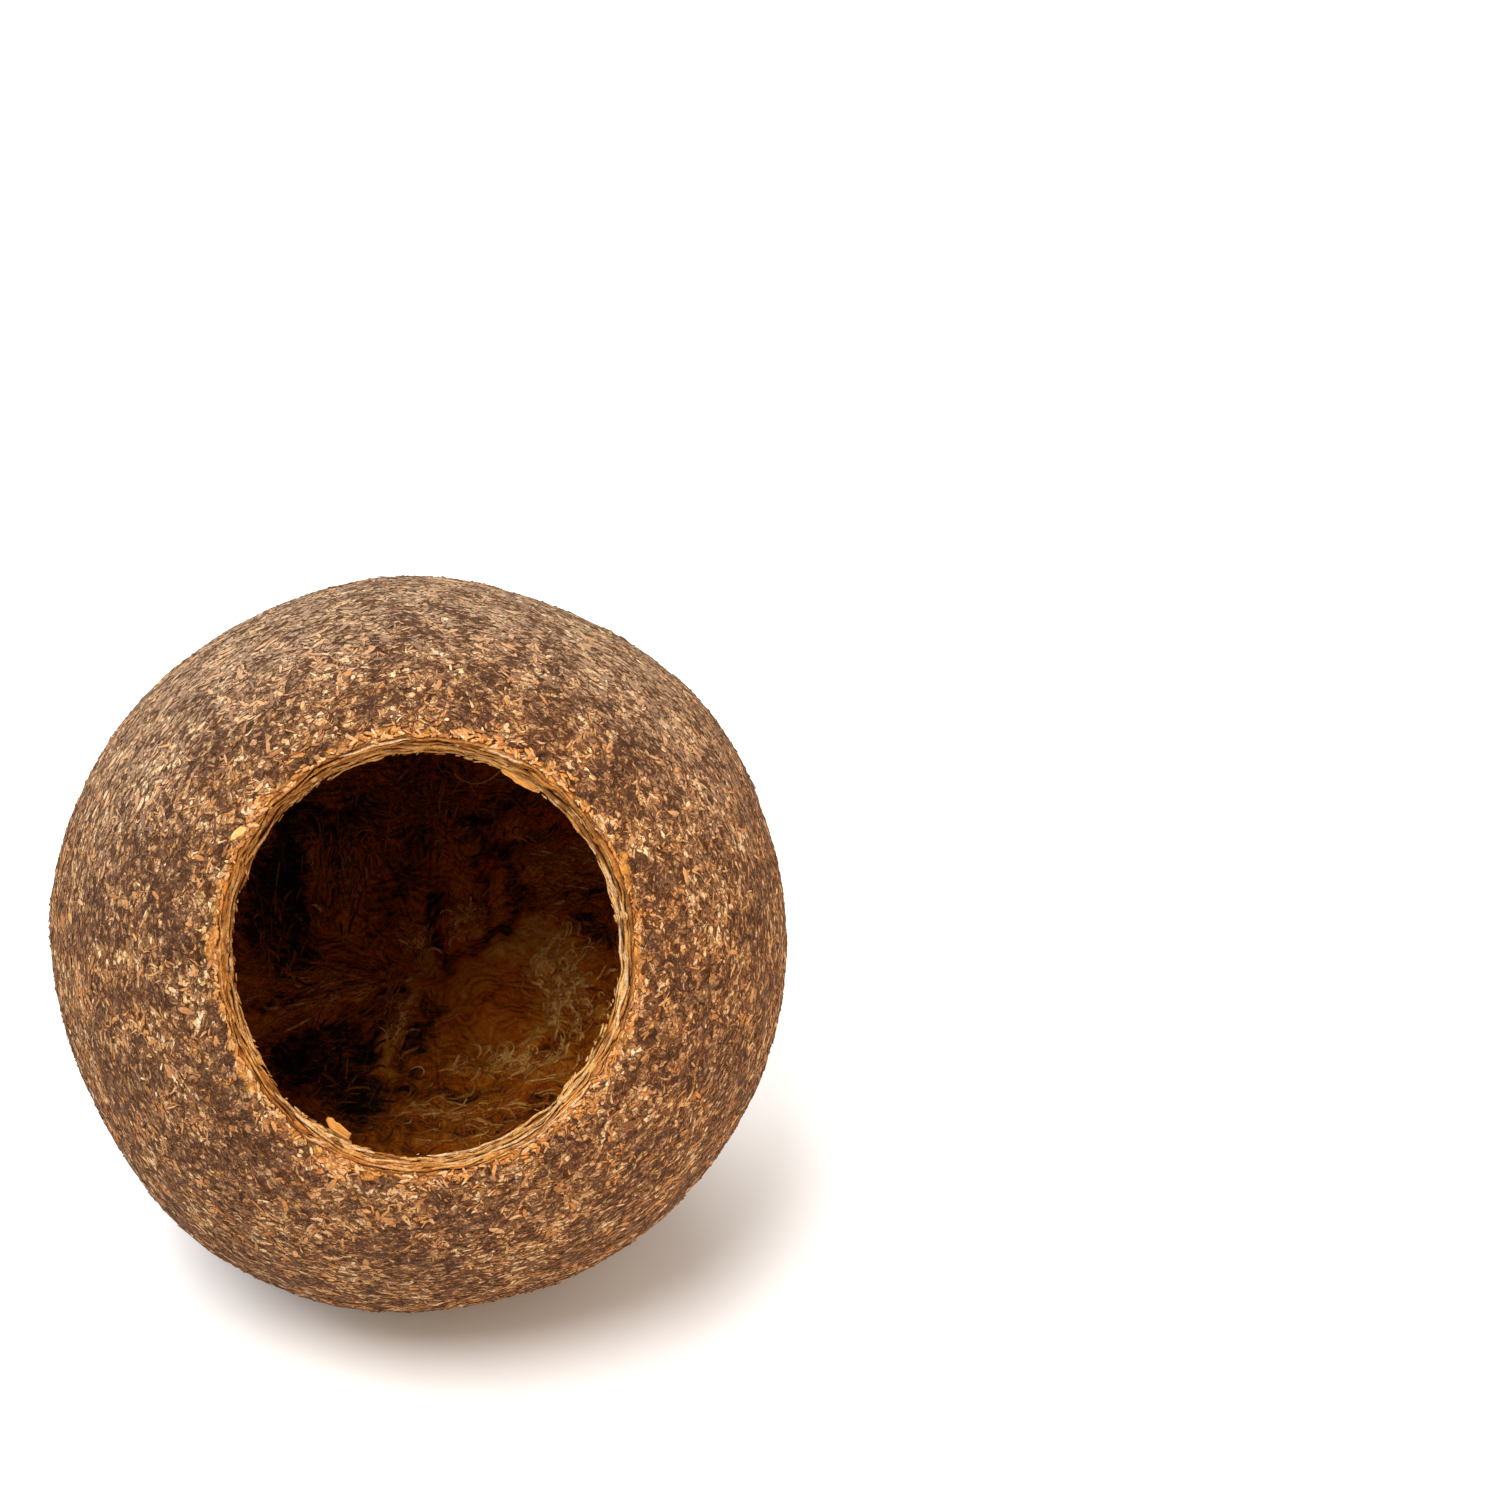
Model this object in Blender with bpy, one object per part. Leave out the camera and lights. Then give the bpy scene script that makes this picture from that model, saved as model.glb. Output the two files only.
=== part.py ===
"""A dried, hollow wood apple pod with one round mouth cut in its shell, lying on a small flat spot.

Metres, +Z up. The origin is under the middle of the body, and the mouth looks along -Y and up.
The pod is shaped in a frame of its own first: the body's centre is the origin there, +Z points
out of the mouth and +Y is the mouth's upper side. A section of the shell is spun round that axis,
and each point is then moved to where the pod grew. Meridians run from the mouth's edge to the
stem end, which lies nearly opposite, so that the ribs inside meet there.
"""

import math

import bmesh
import bpy
from mathutils import Matrix, Vector, noise

# Body
BODY_RADIUS = 0.0375
LUMP_HEIGHT = 0.0009
LUMP_LENGTH = 0.025
LUMP_PHASE = Vector((1.9, 6.7, 30.8))
CRUST_HEIGHT = 0.00026
CRUST_LENGTH = 0.0062
CRUST_FLATTENING = 1.6

# Mouth, measured across the outer edge of its cut
MOUTH_WIDTH = 0.0408
MOUTH_HEIGHT = 0.0424
MOUTH_ANGLE = math.asin(MOUTH_WIDTH / 2 / BODY_RADIUS)
MOUTH_RISE = math.radians(31.0)
OUTER_EDGE_JITTER = 0.0004
INNER_EDGE_JITTER = 0.0007
EDGE_JITTER_LENGTH = 0.0026
EDGE_ROUNDING = 0.00035

# Woody wall, and how far each of its layers stands back at the cut
WALL = 0.0029
WALL_VARIATION = 0.0003
LAYER_SETBACKS = (0.0, 0.00028, -0.00018, 0.00034, 0.00006, 0.0)

# Stem end, turned from the point straight opposite the mouth
STEM_END_DOWN = math.radians(8.7)
STEM_END_ASIDE = math.radians(1.8)
STEM_SCAR_RADIUS = 0.0042
STEM_SCAR_DEPTH = 0.0006
STEM_KNOB_RADIUS = 0.0030
STEM_KNOB_HEIGHT = 0.0009

# Ribs in the hollow
RIB_HEIGHT = 0.00055
RIB_TURNS = 2.6
RIB_DRIFT = 1.7

# Flat spot that the pod lies on
FLAT_SPOT_RADIUS = 0.008

# Fineness of the mesh
AROUND = 84
SKIN_RINGS = 23
HOLLOW_RINGS = 19
EDGE_RINGS = 2
EDGE_SPACING = 0.0009
STEM_RINGS = 4


def smooth_step(low, high, value):
    """0 below low and 1 above high, with an even slope between."""
    t = min(1.0, max(0.0, (value - low) / (high - low)))
    return t * t * (3 - 2 * t)


def stem_end():
    """The direction from the body's centre to the stem end."""
    down = Matrix.Rotation(-STEM_END_DOWN, 3, "X")
    aside = Matrix.Rotation(-STEM_END_ASIDE, 3, "Y")
    return aside @ down @ Vector((0, 0, -1))


def body_radius(direction):
    """The distance from the centre to the skin, before its crust: a ball with broad lumps."""
    lumps = noise.noise(direction * (BODY_RADIUS / LUMP_LENGTH) + LUMP_PHASE)
    return BODY_RADIUS + LUMP_HEIGHT * lumps


def crust_height(direction):
    """The corky crust's low relief, whose plates lie longest round the mouth's axis."""
    place = direction * (BODY_RADIUS / CRUST_LENGTH)
    place.z *= CRUST_FLATTENING
    plates = noise.noise(place + Vector((9.4, 2.2, 5.3)))
    pits = noise.noise(place * 2.1 + Vector((4.4, 8.1, 0.7)))
    return CRUST_HEIGHT * (plates + 0.5 * pits)


def wall_thickness(direction):
    """The wall's own thickness, which varies gently over the pod."""
    uneven = noise.noise(direction * (BODY_RADIUS / 0.019) + Vector((5.0, 1.0, 8.0)))
    return WALL + WALL_VARIATION * uneven


def rib_height(turn, share):
    """The height of the ribs that run down the hollow to the stem end."""
    place = Vector((math.cos(turn), math.sin(turn), 0)) * RIB_TURNS
    ribs = noise.noise(place + Vector((0, 0, share * RIB_DRIFT)))
    ribs += 0.5 * noise.noise(place * 2.3 + Vector((4, 4, share * RIB_DRIFT)))
    return RIB_HEIGHT * ribs


def mouth_edge(turn, depth):
    """The direction of the cut's edge at one turn round the mouth and one depth in the wall."""
    across = MOUTH_WIDTH / 2 * math.cos(turn)
    upward = MOUTH_HEIGHT / 2 * math.sin(turn)
    place = Vector((across, upward, 0)) / EDGE_JITTER_LENGTH
    place.z = depth * WALL / 0.0011
    jitter = OUTER_EDGE_JITTER + (INNER_EDGE_JITTER - OUTER_EDGE_JITTER) * depth
    half = math.hypot(across, upward) + jitter * noise.noise(place)
    angle = math.asin(half / BODY_RADIUS)
    side = Vector((across, upward, 0)).normalized()
    return side * math.sin(angle) + Vector((0, 0, math.cos(angle)))


def skin_radius(direction, off_stem, off_mouth):
    """The skin's distance from the centre, with the stem's scar and the mouth's worn edge."""
    scar = STEM_SCAR_DEPTH * (1 - smooth_step(0.6 * STEM_SCAR_RADIUS, STEM_SCAR_RADIUS, off_stem))
    worn = EDGE_ROUNDING * (1 - smooth_step(0, 0.0022, off_mouth))
    return body_radius(direction) + crust_height(direction) - scar - worn


def hollow_radius(direction, turn, share, off_stem):
    """The hollow's distance from the centre, with its ribs and the knob that they meet in."""
    reach = smooth_step(0, 0.22, share) * smooth_step(0, 0.016, off_stem)
    knob = STEM_KNOB_HEIGHT * (1 - smooth_step(0, STEM_KNOB_RADIUS, off_stem))
    inside = body_radius(direction) - wall_thickness(direction)
    return inside - reach * rib_height(turn, share) - knob


def setback(direction, share, depth):
    """The angle by which a woody layer stands back from the mouth, at the cut alone."""
    if share > 0:
        return 0.0
    layer = round(depth * (len(LAYER_SETBACKS) - 1))
    uneven = 1 + 0.5 * noise.noise(direction * 40 + Vector((layer, 0, 0)))
    return LAYER_SETBACKS[layer] * uneven / BODY_RADIUS


def grown_point(turn, share, depth):
    """Where a point of the shell lies, from its turn round the mouth, its share of the way from
    the mouth's edge to the stem end, and its depth in the wall from skin 0 to hollow 1."""
    edge = mouth_edge(turn, depth)
    stem = stem_end()
    direction = edge.slerp(stem, share)
    direction = direction.slerp(Vector((0, 0, -1)), setback(direction, share, depth))
    off_stem = direction.angle(stem) * BODY_RADIUS
    off_mouth = direction.angle(edge) * BODY_RADIUS if share > 0 else 0.0
    skin = skin_radius(direction, off_stem, off_mouth)
    hollow = hollow_radius(direction, turn, share, off_stem)
    return direction * (skin + (hollow - skin) * depth)


def meridian_shares(rings, stem_radius):
    """Shares along a meridian, closer together at the mouth's edge and round the stem end."""
    length = BODY_RADIUS * (math.pi - MOUTH_ANGLE)
    edge = [EDGE_SPACING * step / length for step in range(1, EDGE_RINGS + 1)]
    spacing = stem_radius / (STEM_RINGS - 1) / length
    stem = [1 - spacing * step for step in range(STEM_RINGS, 0, -1)]
    gap = (stem[0] - edge[-1]) / rings
    return edge + [edge[-1] + gap * step for step in range(1, rings)] + stem


def section(bm):
    """Half of the shell's section, from the stem end over skin and cut back along the hollow."""
    share_of = bm.verts.layers.float.new("share")
    depth_of = bm.verts.layers.float.new("depth")
    layers = len(LAYER_SETBACKS)
    skin = [(share, 0.0) for share in [0.0] + meridian_shares(SKIN_RINGS, STEM_SCAR_RADIUS) + [1.0]]
    cut = [(0.0, layer / (layers - 1)) for layer in range(1, layers - 1)]
    hollow = [(share, 1.0) for share in [0.0] + meridian_shares(HOLLOW_RINGS, STEM_KNOB_RADIUS) + [1.0]]
    verts = []
    for share, depth in skin[::-1] + cut + hollow:
        angle = MOUTH_ANGLE + share * (math.pi - MOUTH_ANGLE)
        radius = BODY_RADIUS - WALL * depth
        vert = bm.verts.new((radius * math.sin(angle), 0, radius * math.cos(angle)))
        vert[share_of] = share
        vert[depth_of] = depth
        verts.append(vert)
    return verts + [bm.edges.new(pair) for pair in zip(verts, verts[1:])]


def grow(bm):
    """Moves each point of the spun shell to where the pod grew."""
    share_of = bm.verts.layers.float["share"]
    depth_of = bm.verts.layers.float["depth"]
    for vert in bm.verts:
        turn = math.atan2(vert.co.y, vert.co.x)
        vert.co = grown_point(turn, vert[share_of], vert[depth_of])


def level_flat_spot(bm, placing):
    """Cuts off what would lie below the surface, and closes the cut with one flat face."""
    unplace = placing.inverted()
    point = unplace.to_translation()
    downward = unplace.to_3x3() @ Vector((0, 0, -1))
    everything = bm.verts[:] + bm.edges[:] + bm.faces[:]
    found = bmesh.ops.bisect_plane(
        bm, geom=everything, dist=1e-6, plane_co=point, plane_no=downward, clear_outer=True
    )
    rim = [item for item in found["geom_cut"] if isinstance(item, bmesh.types.BMEdge)]
    bmesh.ops.holes_fill(bm, edges=rim, sides=0)


def pod_mesh(placing):
    """The shell as one closed mesh: skin, cut and hollow, with the flat spot cut level."""
    bm = bmesh.new()
    bmesh.ops.spin(
        bm,
        geom=section(bm),
        cent=(0, 0, 0),
        axis=(0, 0, 1),
        angle=2 * math.pi,
        steps=AROUND,
        use_merge=True,
    )
    bmesh.ops.remove_doubles(bm, verts=bm.verts, dist=1e-5)
    grow(bm)
    level_flat_spot(bm, placing)
    bmesh.ops.recalc_face_normals(bm, faces=bm.faces)
    mesh = bpy.data.meshes.new("pod")
    bm.to_mesh(mesh)
    bm.free()
    return mesh


def husk_material():
    material = bpy.data.materials.new("dry_husk")
    material.use_nodes = True
    surface = material.node_tree.nodes["Principled BSDF"]
    surface.inputs["Base Color"].default_value = (0.27, 0.13, 0.06, 1)
    surface.inputs["Roughness"].default_value = 0.8
    surface.inputs["Metallic"].default_value = 0.0
    return material


def clear_scene():
    for thing in list(bpy.data.objects):
        bpy.data.objects.remove(thing)


def main():
    clear_scene()
    centre_height = math.sqrt(BODY_RADIUS**2 - FLAT_SPOT_RADIUS**2)
    tilt = Matrix.Rotation(math.pi / 2 - MOUTH_RISE, 4, "X")
    placing = Matrix.Translation((0, 0, centre_height)) @ tilt
    pod = bpy.data.objects.new("pod", pod_mesh(placing))
    bpy.context.scene.collection.objects.link(pod)
    pod.location = placing.to_translation()
    pod.rotation_euler = placing.to_euler()
    pod.data.materials.append(husk_material())
    pod.data.shade_smooth()
    pod.data.set_sharp_from_angle(angle=math.radians(50))


main()
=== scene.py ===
"""The looks of a dried, hollow wood apple pod with one round mouth cut in its shell.

The husk is drawn in a frame of its own first: the body's centre is the origin there, +Z points
out of the mouth and +Y is the mouth's upper side. A place on it is given by its turn round the
mouth, its share of the way from the mouth's edge to the stem end, and its depth in the wall,
from 0 on the skin to 1 on the hollow.
"""

import random
from math import acos, asin, atan2, copysign, cos, exp, hypot, pi, radians, sin, sqrt

import bmesh
import bpy
from mathutils import Matrix, Vector, noise
from mathutils.bvhtree import BVHTree


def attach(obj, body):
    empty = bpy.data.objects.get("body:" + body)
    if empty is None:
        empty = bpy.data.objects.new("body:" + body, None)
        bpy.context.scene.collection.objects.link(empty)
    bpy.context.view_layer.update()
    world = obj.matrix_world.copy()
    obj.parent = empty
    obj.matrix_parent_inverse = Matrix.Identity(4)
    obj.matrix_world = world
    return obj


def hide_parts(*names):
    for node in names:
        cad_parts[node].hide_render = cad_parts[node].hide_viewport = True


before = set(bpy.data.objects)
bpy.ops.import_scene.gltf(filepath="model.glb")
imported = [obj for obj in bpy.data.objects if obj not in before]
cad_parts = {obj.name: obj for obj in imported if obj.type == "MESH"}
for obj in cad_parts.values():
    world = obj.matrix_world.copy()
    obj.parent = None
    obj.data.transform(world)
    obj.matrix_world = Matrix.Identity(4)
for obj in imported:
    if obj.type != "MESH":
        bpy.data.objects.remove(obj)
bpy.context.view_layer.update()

# The vector noise starts from the clock unless it is seeded
NOISE_SEED = 1
noise.seed_set(NOISE_SEED)

MM = 0.001

# Body, as in the solid
BODY_RADIUS = 37.5 * MM
LUMP_HEIGHT = 0.9 * MM
LUMP_LENGTH = 25 * MM
LUMP_PHASE = Vector((1.9, 6.7, 30.8))
CRUST_HEIGHT = 0.13 * MM
CRUST_LENGTH = 6.2 * MM
CRUST_FLATTENING = 1.6

# Mouth, as in the solid but for its jitter, which is finer here
MOUTH_WIDTH = 40.8 * MM
MOUTH_HEIGHT = 42.4 * MM
MOUTH_RISE = radians(31.0)
OUTER_EDGE_JITTER = 0.3 * MM
INNER_EDGE_JITTER = 0.25 * MM
EDGE_JITTER_LENGTH = 2.6 * MM
EDGE_ROUNDING = 0.35 * MM
CUT_ANGLE = radians(33.75)

# Woody wall, as in the solid
WALL = 2.9 * MM
WALL_VARIATION = 0.3 * MM
HOLLOW_RADIUS = BODY_RADIUS - WALL

# Depths beyond which a point counts as skin or as hollow
ON_SKIN = 0.02
ON_HOLLOW = 0.98

# Stem end, as in the solid
STEM_END_DOWN = radians(8.7)
STEM_END_ASIDE = radians(1.8)
STEM_SCAR_RADIUS = 4.2 * MM
STEM_SCAR_DEPTH = 0.6 * MM
STEM_KNOB_RADIUS = 3.0 * MM
STEM_KNOB_HEIGHT = 0.9 * MM

# Ribs in the hollow, as in the solid
RIB_HEIGHT = 0.55 * MM
RIB_TURNS = 2.6
RIB_DRIFT = 1.7

# Flat spot, as in the solid
FLAT_SPOT_RADIUS = 8 * MM
CENTRE_HEIGHT = sqrt(BODY_RADIUS**2 - FLAT_SPOT_RADIUS**2)

# Fine relief that only the looks have
CORK_HEIGHT = 0.07 * MM
CORK_LENGTH = 1.7 * MM
PLATE_STEP = 0.10 * MM
PLATE_LENGTH = 3.6 * MM
FOLD_HEIGHT = 0.30 * MM
TUFT_HEIGHT = 0.22 * MM
TUFT_LENGTH = 2.1 * MM
CUT_RECESS = 0.5 * MM

# Fineness of the shell
HUSK_SEGMENTS = 320
SKIN_RINGS = 190
HOLLOW_RINGS = 164
CUT_STEPS = 7
BACK_CROWDING = 0.10

PLACING = Matrix.Translation((0, 0, CENTRE_HEIGHT)) @ Matrix.Rotation(
    pi / 2 - MOUTH_RISE, 4, "X"
)
MOUTH_AXIS = Vector((0, 0, 1))


# Form


def smooth_step(low, high, value):
    """0 at low and 1 at high, with an even slope between and none outside."""
    t = min(1.0, max(0.0, (value - low) / (high - low)))
    return t * t * (3 - 2 * t)


def stem_end():
    """The direction from the body's centre to the stem end."""
    down = Matrix.Rotation(-STEM_END_DOWN, 3, "X")
    aside = Matrix.Rotation(-STEM_END_ASIDE, 3, "Y")
    return aside @ down @ Vector((0, 0, -1))


STEM = stem_end()


def off_cut(direction):
    """How far outside the mouth's cut a direction lies, along the skin."""
    return (direction.angle(MOUTH_AXIS) - CUT_ANGLE) * BODY_RADIUS


def off_stem(direction):
    return direction.angle(STEM) * BODY_RADIUS


def turned(heading, angle, axis):
    return Matrix.Rotation(angle, 3, axis) @ heading


def ripple(place, *shift):
    """A noise that is moved aside, so that it differs from others in the same place."""
    return noise.noise(place + Vector(shift))


def body_radius(direction):
    lumps = noise.noise(direction * (BODY_RADIUS / LUMP_LENGTH) + LUMP_PHASE)
    return BODY_RADIUS + LUMP_HEIGHT * lumps


def torn_open(direction):
    """How far the crust is torn open: above 0 where it is bare, below 0 on a whole plate.
    Away from the mouth the tears lie round its axis and are wider."""
    far = smooth_step(5, 30, off_cut(direction) / MM)
    place = direction * (BODY_RADIUS / PLATE_LENGTH)
    place.z *= 1.2 + 1.3 * far
    place += 0.7 * noise.noise_vector(place * 0.7)
    tears = noise.noise(place) + 0.5 * ripple(place * 2.6, 3, 7, 1)
    return tears + 0.35 * ripple(direction * 5.5, 1, 8, 2) - 0.16 + 0.14 * far


def crust_height(direction):
    """The crust's low swellings, the plates that stand on them, and the finer cork."""
    place = direction * (BODY_RADIUS / CRUST_LENGTH)
    place.z *= CRUST_FLATTENING
    swelling = ripple(place, 9.4, 2.2, 5.3)
    pits = ripple(place * 2.1, 4.4, 8.1, 0.7)
    cork = noise.fractal(place * (CRUST_LENGTH / CORK_LENGTH), 0.7, 2.1, 2)
    plate = smooth_step(0.12, -0.12, torn_open(direction)) - 0.5
    return CRUST_HEIGHT * (swelling + 0.5 * pits) + CORK_HEIGHT * cork + PLATE_STEP * plate


def wall_thickness(direction):
    uneven = ripple(direction * (BODY_RADIUS / 0.019), 5.0, 1.0, 8.0)
    return WALL + WALL_VARIATION * uneven


def turn_place(turn, scale):
    """A point on a circle, so that a pattern round the mouth closes on itself."""
    return Vector((cos(turn), sin(turn), 0)) * scale


def rib_height(turn, share):
    """The ribs that run down the hollow to the stem end, and the finer folds between them."""
    place = turn_place(turn, RIB_TURNS)
    ribs = ripple(place, 0, 0, share * RIB_DRIFT)
    ribs += 0.5 * ripple(place * 2.3, 4, 4, share * RIB_DRIFT)
    folds = ripple(turn_place(turn, 11), 0, 0, share * 3.1)
    return RIB_HEIGHT * ribs + FOLD_HEIGHT * folds


def mouth_edge(turn, depth):
    """The direction of the cut's edge at one turn round the mouth and one depth in the wall."""
    across = MOUTH_WIDTH / 2 * cos(turn)
    upward = MOUTH_HEIGHT / 2 * sin(turn)
    place = Vector((across, upward, 0)) / EDGE_JITTER_LENGTH
    place.z = depth * WALL / 0.0011
    jitter = OUTER_EDGE_JITTER + (INNER_EDGE_JITTER - OUTER_EDGE_JITTER) * depth
    half = hypot(across, upward) + jitter * noise.noise(place)
    angle = asin(half / BODY_RADIUS)
    side = Vector((across, upward, 0)).normalized()
    return side * sin(angle) + MOUTH_AXIS * cos(angle)


def skin_radius(direction, off_mouth):
    """The skin's distance from the centre, with the stem's scar and the mouth's worn edge."""
    healed = smooth_step(0.6 * STEM_SCAR_RADIUS, STEM_SCAR_RADIUS, off_stem(direction))
    scar = STEM_SCAR_DEPTH * (1 - healed)
    worn = EDGE_ROUNDING * (1 - smooth_step(0, 0.0022, off_mouth))
    return body_radius(direction) + crust_height(direction) - scar - worn


def hollow_radius(direction, turn, share):
    """The hollow's distance from the centre, with its ribs and the knob that they meet in."""
    reach = smooth_step(0, 0.22, share) * smooth_step(0, 0.016, off_stem(direction))
    knob = STEM_KNOB_HEIGHT * (1 - smooth_step(0, STEM_KNOB_RADIUS, off_stem(direction)))
    inside = body_radius(direction) - wall_thickness(direction)
    return inside - reach * rib_height(turn, share) - knob


def wall_point(direction, turn, share, depth, off_mouth):
    skin = skin_radius(direction, off_mouth)
    hollow = hollow_radius(direction, turn, share)
    return direction * (skin + (hollow - skin) * depth)


def grown_point(turn, share, depth):
    """Where a point of the husk lies."""
    edge = mouth_edge(turn, depth)
    direction = edge.slerp(STEM, share)
    off_mouth = direction.angle(edge) * BODY_RADIUS if share > 0 else 0.0
    return wall_point(direction, turn, share, depth, off_mouth)


def edge_point(turn, along, depth):
    """A point this far from the cut's edge: along the wall if positive, into the mouth if not."""
    edge = mouth_edge(turn, depth)
    side = Vector((edge.x, edge.y, 0)).normalized()
    away = side * edge.z - MOUTH_AXIS * hypot(edge.x, edge.y)
    angle = along / BODY_RADIUS
    direction = edge * cos(angle) + away * sin(angle)
    return wall_point(direction, turn, 0, depth, max(0.0, along))


# The forms that stand out on the back of the hollow: half the width and the height in
# millimetres, how pale it is, from -1 to 1, and then the points of its line. The paleness is
# partly the wall's own colour and partly painted light on the ridges and painted shade in the
# grooves and pockets. These are given by their millimetres to the right of and above the body's
# middle, as seen through the mouth.
HOLLOW_FORMS = (
    # pale ridge from the stem's knob down to the left
    (1, 0.7, 1.1, -0.3, -6.6, -2.6, -9.8, -4.1, -13, -4.2, -15.2),
    (0.8, -0.4, -0.7, 1.2, -8, -0.8, -11.4, -2, -15),
    (0.9, -0.5, -0.8, -2.4, -7.4, -4.6, -10.6, -6.4, -14),
    # pale lobe above the knob, and the curls beside it
    (1.2, 0.7, 1, -0.4, -1.3, 0.9, -4),
    (1, 0.6, 0.9, 3.9, 0.6, 6.4, -0.6),
    (0.9, 0.4, 0.4, 4.5, 5.6, 6, 1.6),
    (0.9, 0.4, 0.5, 8.6, 3.8, 9.6, -0.6),
    # dark grooves that run up from the knob
    (0.8, -0.9, -0.9, 2, -3, 1.7, 1.4, 2.1, 3.6),
    (0.8, -0.9, -0.9, 2.6, -4.1, 7.2, -1.8, 9.9, -0.2),
    (1.1, -0.8, -0.8, 9.9, -0.2, 11.7, 2.6, 10, 6.9, 6.4, 11),
    (0.8, -0.7, -0.8, 7.6, -0.3, 7.6, 4.3, 6.6, 7.4),
    (1.6, -0.4, -0.5, -3, 2, -0.6, 6.8, 0.4, 10),
    # dark streaks and a pocket on the left
    (2.2, -1, -1, -13.4, -3.6, -12.8, 2.6),
    (1.4, -0.7, -0.9, -13.4, 3.6, -13.8, 11.8),
    (1.1, -0.4, -0.5, -9.4, 5, -8.6, 9.8, -6, 14),
    (1.5, -0.4, -0.5, -17.6, 0.8, -16.4, 7.4),
    (0.9, 0.4, 0.4, -11.4, 1.6, -11, 9.6),
    (1.3, 0.3, 0.25, -7.4, 0.6, -6.6, 7.4),
    # dark pocket low on the left
    (2.5, -1.1, -1, -14, -13.2, -9.6, -15.2, -6.8, -18),
    (1.2, -0.5, -0.6, -9, -10.6, -6.2, -12.4),
    # lines that fan out to the left
    (0.6, 0.3, 0.45, -1.6, -5, -11, -4.6, -20, -5.6),
    (0.7, 0.35, 0.5, -1.6, -5.6, -10, -7, -18.6, -9.6),
    (0.5, -0.4, -0.6, -2, -4.8, -8, -3.4, -12, -2.9),
    (0.5, -0.5, -0.7, -1.8, -5.3, -12, -6, -20.6, -7.6),
    (0.6, -0.5, -0.7, -2.6, -6.6, -9, -9.4, -16, -12),
    # smooth ground to the right
    (4.4, 0.1, 0.45, 4.6, -7, 6.4, -10.6, 7.4, -14.2),
    (2.4, 0.1, 0.55, 5, -3.6, 9, -3.2, 15, -2.2),
    (2, 0.5, 0.5, 9.6, -1.8, 13.4, -0.4),
    (4, 0, 0.35, 16, -6, 14, -13),
    (6, 0, -0.4, -8, 12, 2, 17),
    (4.5, 0, 0.3, 12, 3, 18, 8),
    (3, 0, 0.2, 5, 2, 7, 8),
    (4, 0, -0.4, -18, 10, -16, 4),
    (3.4, 0, 0.25, -6, -6, -17, -8),
    # curled tufts on the far right, and the pockets among them
    (1.2, -0.6, -0.7, 17.6, 0, 20.4, -1.6),
    (1.8, 0.5, 0.55, 13.4, -4.4, 15.8, -7.6, 14.2, -11.4),
    (1.2, 0.5, 0.55, 17.4, -5.4, 18.4, -9.8),
    (1.1, -0.9, -0.9, 15.2, -12.4, 13, -13.8),
    (0.7, -0.7, -0.8, 18.4, -8, 16.8, -10.4),
    (0.8, 0.5, 0.7, 6, -16.4, 10.4, -14.6, 14.2, -10.6),
    # bands that lie across at the bottom
    (0.8, 0.5, 0.55, -4, -19.4, 3, -20.6, 10.6, -18.2, 15.8, -14.6),
    (0.6, -0.5, -0.6, -2, -21, 6, -22.2, 13.4, -19.2),
    (0.8, 0.4, 0.55, -1, -22.6, 7, -23.4, 15, -20),
    (0.6, -0.4, -0.5, -3, -17.4, 4, -18.6, 9, -17),
    # lines on the upper right
    (0.7, -0.5, -0.7, 12.6, 1.6, 17, 3.4, 21, 3.6),
    (0.9, 0.35, 0.45, 12, 4.6, 16, 6.6, 20.6, 7.4),
    (0.8, -0.4, -0.55, 10.6, 8.4, 15, 9.6, 19, 9.4),
    (1.4, -0.4, -0.4, 7, 12, 12.6, 14),
    (1.8, -0.5, -0.6, -12, 14.6, -10.6, 11.6),
)
STROKES = []
for half_width, rise, tone, *line in HOLLOW_FORMS:
    points = list(zip(line[::2], line[1::2]))
    STROKES.append((half_width, rise, tone, list(zip(points, points[1:]))))


def off_segment(x, y, start, end):
    """The distance of a point from one straight piece of a line."""
    run_x, run_y = end[0] - start[0], end[1] - start[1]
    part = ((x - start[0]) * run_x + (y - start[1]) * run_y) / (run_x**2 + run_y**2)
    part = min(1.0, max(0.0, part))
    return hypot(x - start[0] - part * run_x, y - start[1] - part * run_y)


def hollow_form(direction):
    """The height in metres and the paleness of the hollow's wall in one direction; the paleness is
    partly the wall's own colour and partly painted light and shade.
    """
    if direction.z > -0.35:
        return 0.0, 0.0
    stray = noise.noise_vector(direction * 16)
    fray = noise.noise_vector(direction * 45)
    reach = HOLLOW_RADIUS / MM
    x = direction.x * reach + 1.3 * stray.x + 0.4 * fray.x
    y = direction.y * reach + 1.3 * stray.y + 0.4 * fray.y
    height = pale = 0.0
    for half_width, rise, tone, segments in STROKES:
        off = min(off_segment(x, y, *ends) for ends in segments)
        if off < 2.5 * half_width:
            weight = exp(-((off / half_width) ** 2))
            height += rise * weight
            pale += tone * weight
    tufts = noise.fractal(direction * (BODY_RADIUS / TUFT_LENGTH), 0.8, 2.0, 3)
    return height * MM + TUFT_HEIGHT * tufts, max(-1.0, min(1.0, pale))


# Modelling helpers


def deselect_all():
    bpy.ops.object.select_all(action="DESELECT")


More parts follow.
